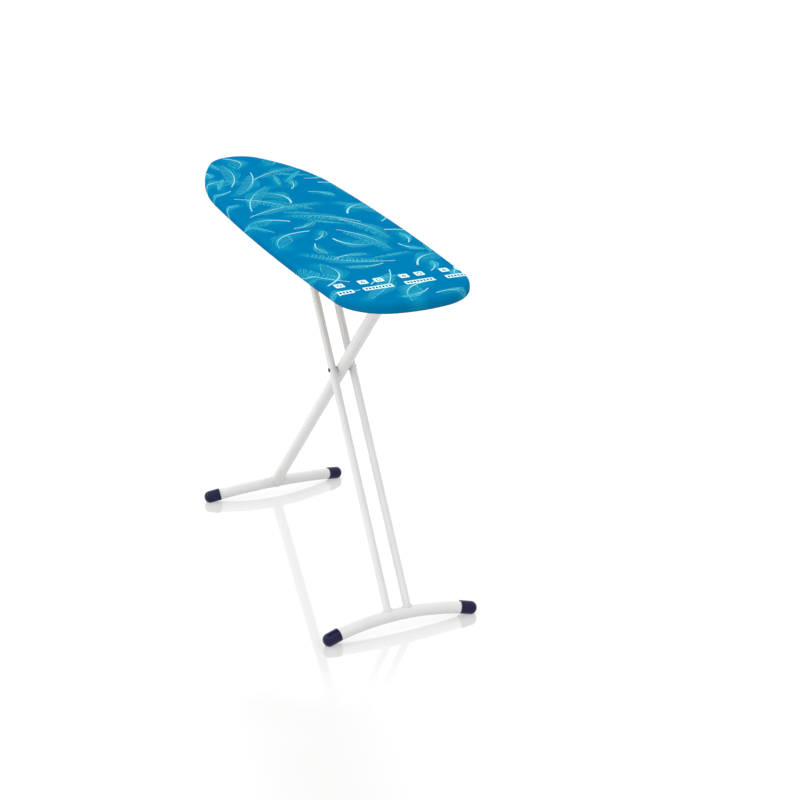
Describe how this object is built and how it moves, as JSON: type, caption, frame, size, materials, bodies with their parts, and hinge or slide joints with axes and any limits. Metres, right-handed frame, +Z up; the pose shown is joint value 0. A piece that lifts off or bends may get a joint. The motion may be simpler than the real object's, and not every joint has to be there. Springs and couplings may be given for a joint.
{
  "type": "ironing board",
  "caption": "Folding ironing board: a long padded board with a round nose and a wide end, on a white steel scissor frame with arched foot bars and dark end caps.",
  "frame": {"origin": "on the floor, under the middle of the board", "axes": "+X from the round nose towards the wide end, +Y across to the left side, +Z up"},
  "size_m": [1.3348, 0.4348, 0.95],
  "materials": {
    "board_wood": "matt particle board",
    "pad_foam": "soft felt and foam",
    "cover_fabric": "woven cotton print",
    "elastic": "matt",
    "white_steel": "semi-gloss powder coat",
    "bare_steel": "zinc plated",
    "dark_steel": "black oxide",
    "spring_steel": "bright wire",
    "navy_plastic": "glossy",
    "dark_plastic": "matt"
  },
  "bodies": {
    "board": {"board_core": "board_wood", "foam_pad": "pad_foam", "cover": "cover_fabric", "hem_elastic": "elastic", "hinge_bolt": "bare_steel", "hinge_nut": "bare_steel", "bracket_screws": "bare_steel", "rail_screws": "bare_steel", "hinge_bracket_left": "white_steel", "hinge_bracket_right": "white_steel", "guide_rail_left": "white_steel", "guide_rail_right": "white_steel", "height_rack_left": "bare_steel", "height_rack_right": "bare_steel", "rail_stop_front_left": "dark_plastic", "rail_stop_front_right": "dark_plastic", "rail_stop_rear_left": "dark_plastic", "rail_stop_rear_right": "dark_plastic"},
    "single_leg": {"single_leg_tube": "white_steel", "single_leg_top_tube": "white_steel", "pivot_bush": "dark_plastic", "single_leg_foot_bar": "white_steel", "hinge_bush_left": "dark_plastic", "hinge_bush_right": "dark_plastic", "single_leg_foot_cap_left": "navy_plastic", "single_leg_foot_cap_right": "navy_plastic"},
    "twin_leg": {"twin_leg_foot_bar": "white_steel", "pivot_rivet": "dark_steel", "slide_axle": "bare_steel", "twin_leg_tube_left": "white_steel", "twin_leg_tube_right": "white_steel", "pivot_spacer_left": "bare_steel", "pivot_spacer_right": "bare_steel", "twin_leg_foot_cap_left": "navy_plastic", "twin_leg_foot_cap_right": "navy_plastic"},
    "slider": {"glider_left": "dark_plastic", "glider_right": "dark_plastic", "slider_bridge": "bare_steel", "lever_pivot_pin": "bare_steel"},
    "lever": {"release_lever": "bare_steel", "latch_bar": "bare_steel", "lever_grip": "navy_plastic", "lever_spring": "spring_steel"}
  },
  "joints": [
    {"name": "leg_fold", "type": "hinge", "parent": "board", "child": "single_leg", "pos_m": [0.458, 0, 0.9], "axis": [0, 1, 0], "range_deg": [0, 44.97]},
    {"name": "scissor_pivot", "type": "hinge", "parent": "single_leg", "child": "twin_leg", "pos_m": [0.169, 0, 0.592], "axis": [0, -1, 0], "range_deg": [0, 100.22]},
    {"name": "slider_swivel", "type": "hinge", "parent": "twin_leg", "child": "slider", "pos_m": [-0.028, 0, 0.9], "axis": [0, 1, 0], "range_deg": [0, 55.26]},
    {"name": "lever_squeeze", "type": "hinge", "parent": "slider", "child": "lever", "pos_m": [-0.05, 0, 0.896], "axis": [0, 1, 0], "range_deg": [0, 12], "stiffness_Nm_per_rad": 2, "springref_deg": -8.59, "deforming": ["lever_spring"]}
  ],
  "couplings": [
    {"joint": "scissor_pivot", "follows": "leg_fold", "ratio": 2.2287},
    {"joint": "slider_swivel", "follows": "leg_fold", "ratio": 1.2287}
  ]
}
